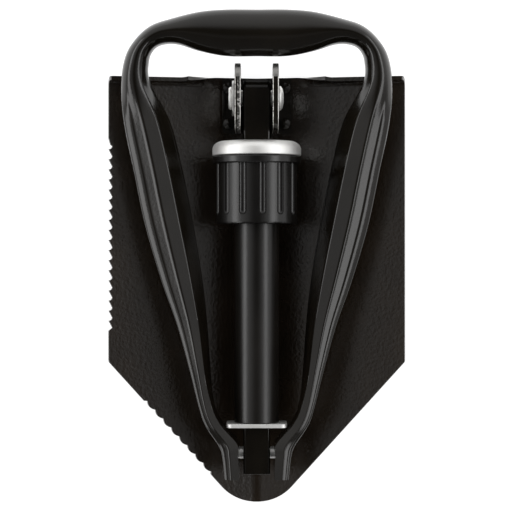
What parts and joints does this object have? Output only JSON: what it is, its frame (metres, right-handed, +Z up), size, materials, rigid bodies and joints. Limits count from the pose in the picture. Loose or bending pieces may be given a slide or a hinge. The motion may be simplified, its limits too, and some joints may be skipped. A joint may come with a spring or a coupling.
{
  "type": "folding camp shovel",
  "caption": "Folding shovel with a dished, toothed blade, a tube shaft with a screw lock collar and a D-handle, folded flat over the blade.",
  "frame": {"origin": "on the ground plane under the middle of the folded shovel's box", "axes": "+Y from the blade's tip to the grip, +Z up from the blade's back through its open face, +X to the right seen from the open face"},
  "size_m": [0.1486, 0.2459, 0.049],
  "materials": {
    "black_coat": "glossy black powder coat over steel, slightly textured",
    "collar_black": "glossy black moulded nylon",
    "zinc": "bright zinc plate, satin",
    "raw_steel": "plain drawn steel"
  },
  "bodies": {
    "blade": {"blade": "black_coat", "hinge_base_plate": "black_coat", "hinge_ear_left": "black_coat", "hinge_ear_right": "black_coat", "bracket_rivet_1": "black_coat", "bracket_rivet_2": "black_coat", "bracket_rivet_3": "black_coat", "bracket_rivet_4": "black_coat", "blade_pivot_rivet": "zinc", "blade_pivot_washer": "zinc"},
    "shaft": {"hinge_fitting": "black_coat", "shaft_tube": "black_coat", "shaft_pin_upper": "raw_steel", "shaft_pin_lower": "raw_steel", "end_plate": "zinc", "handle_fitting": "black_coat", "handle_pivot_pin": "zinc"},
    "lock_ring": {"lock_ring": "zinc"},
    "lock_collar": {"lock_collar": "collar_black"},
    "handle": {"handle_frame": "black_coat"}
  },
  "joints": [
    {"name": "blade_fold", "type": "hinge", "parent": "blade", "child": "shaft", "pos_m": [0, 0.08, 0.027], "axis": [-1, 0, 0], "range_deg": [0, 180]},
    {"name": "handle_fold", "type": "hinge", "parent": "shaft", "child": "handle", "pos_m": [0, -0.0954, 0.027], "axis": [1, 0, 0], "range_deg": [0, 180]},
    {"name": "lock_ring_travel", "type": "slide", "parent": "shaft", "child": "lock_ring", "axis": [0, 1, 0], "range_m": [0, 0.00473]},
    {"name": "lock_collar_turn", "type": "hinge", "parent": "lock_ring", "child": "lock_collar", "pos_m": [0, 0.034, 0.027], "axis": [0, 1, 0], "range_deg": [0, 340]}
  ],
  "couplings": [
    {"joint": "handle_fold", "follows": "blade_fold", "ratio": 1},
    {"joint": "lock_ring_travel", "follows": "lock_collar_turn", "m_per_rad": 0.00079577}
  ]
}
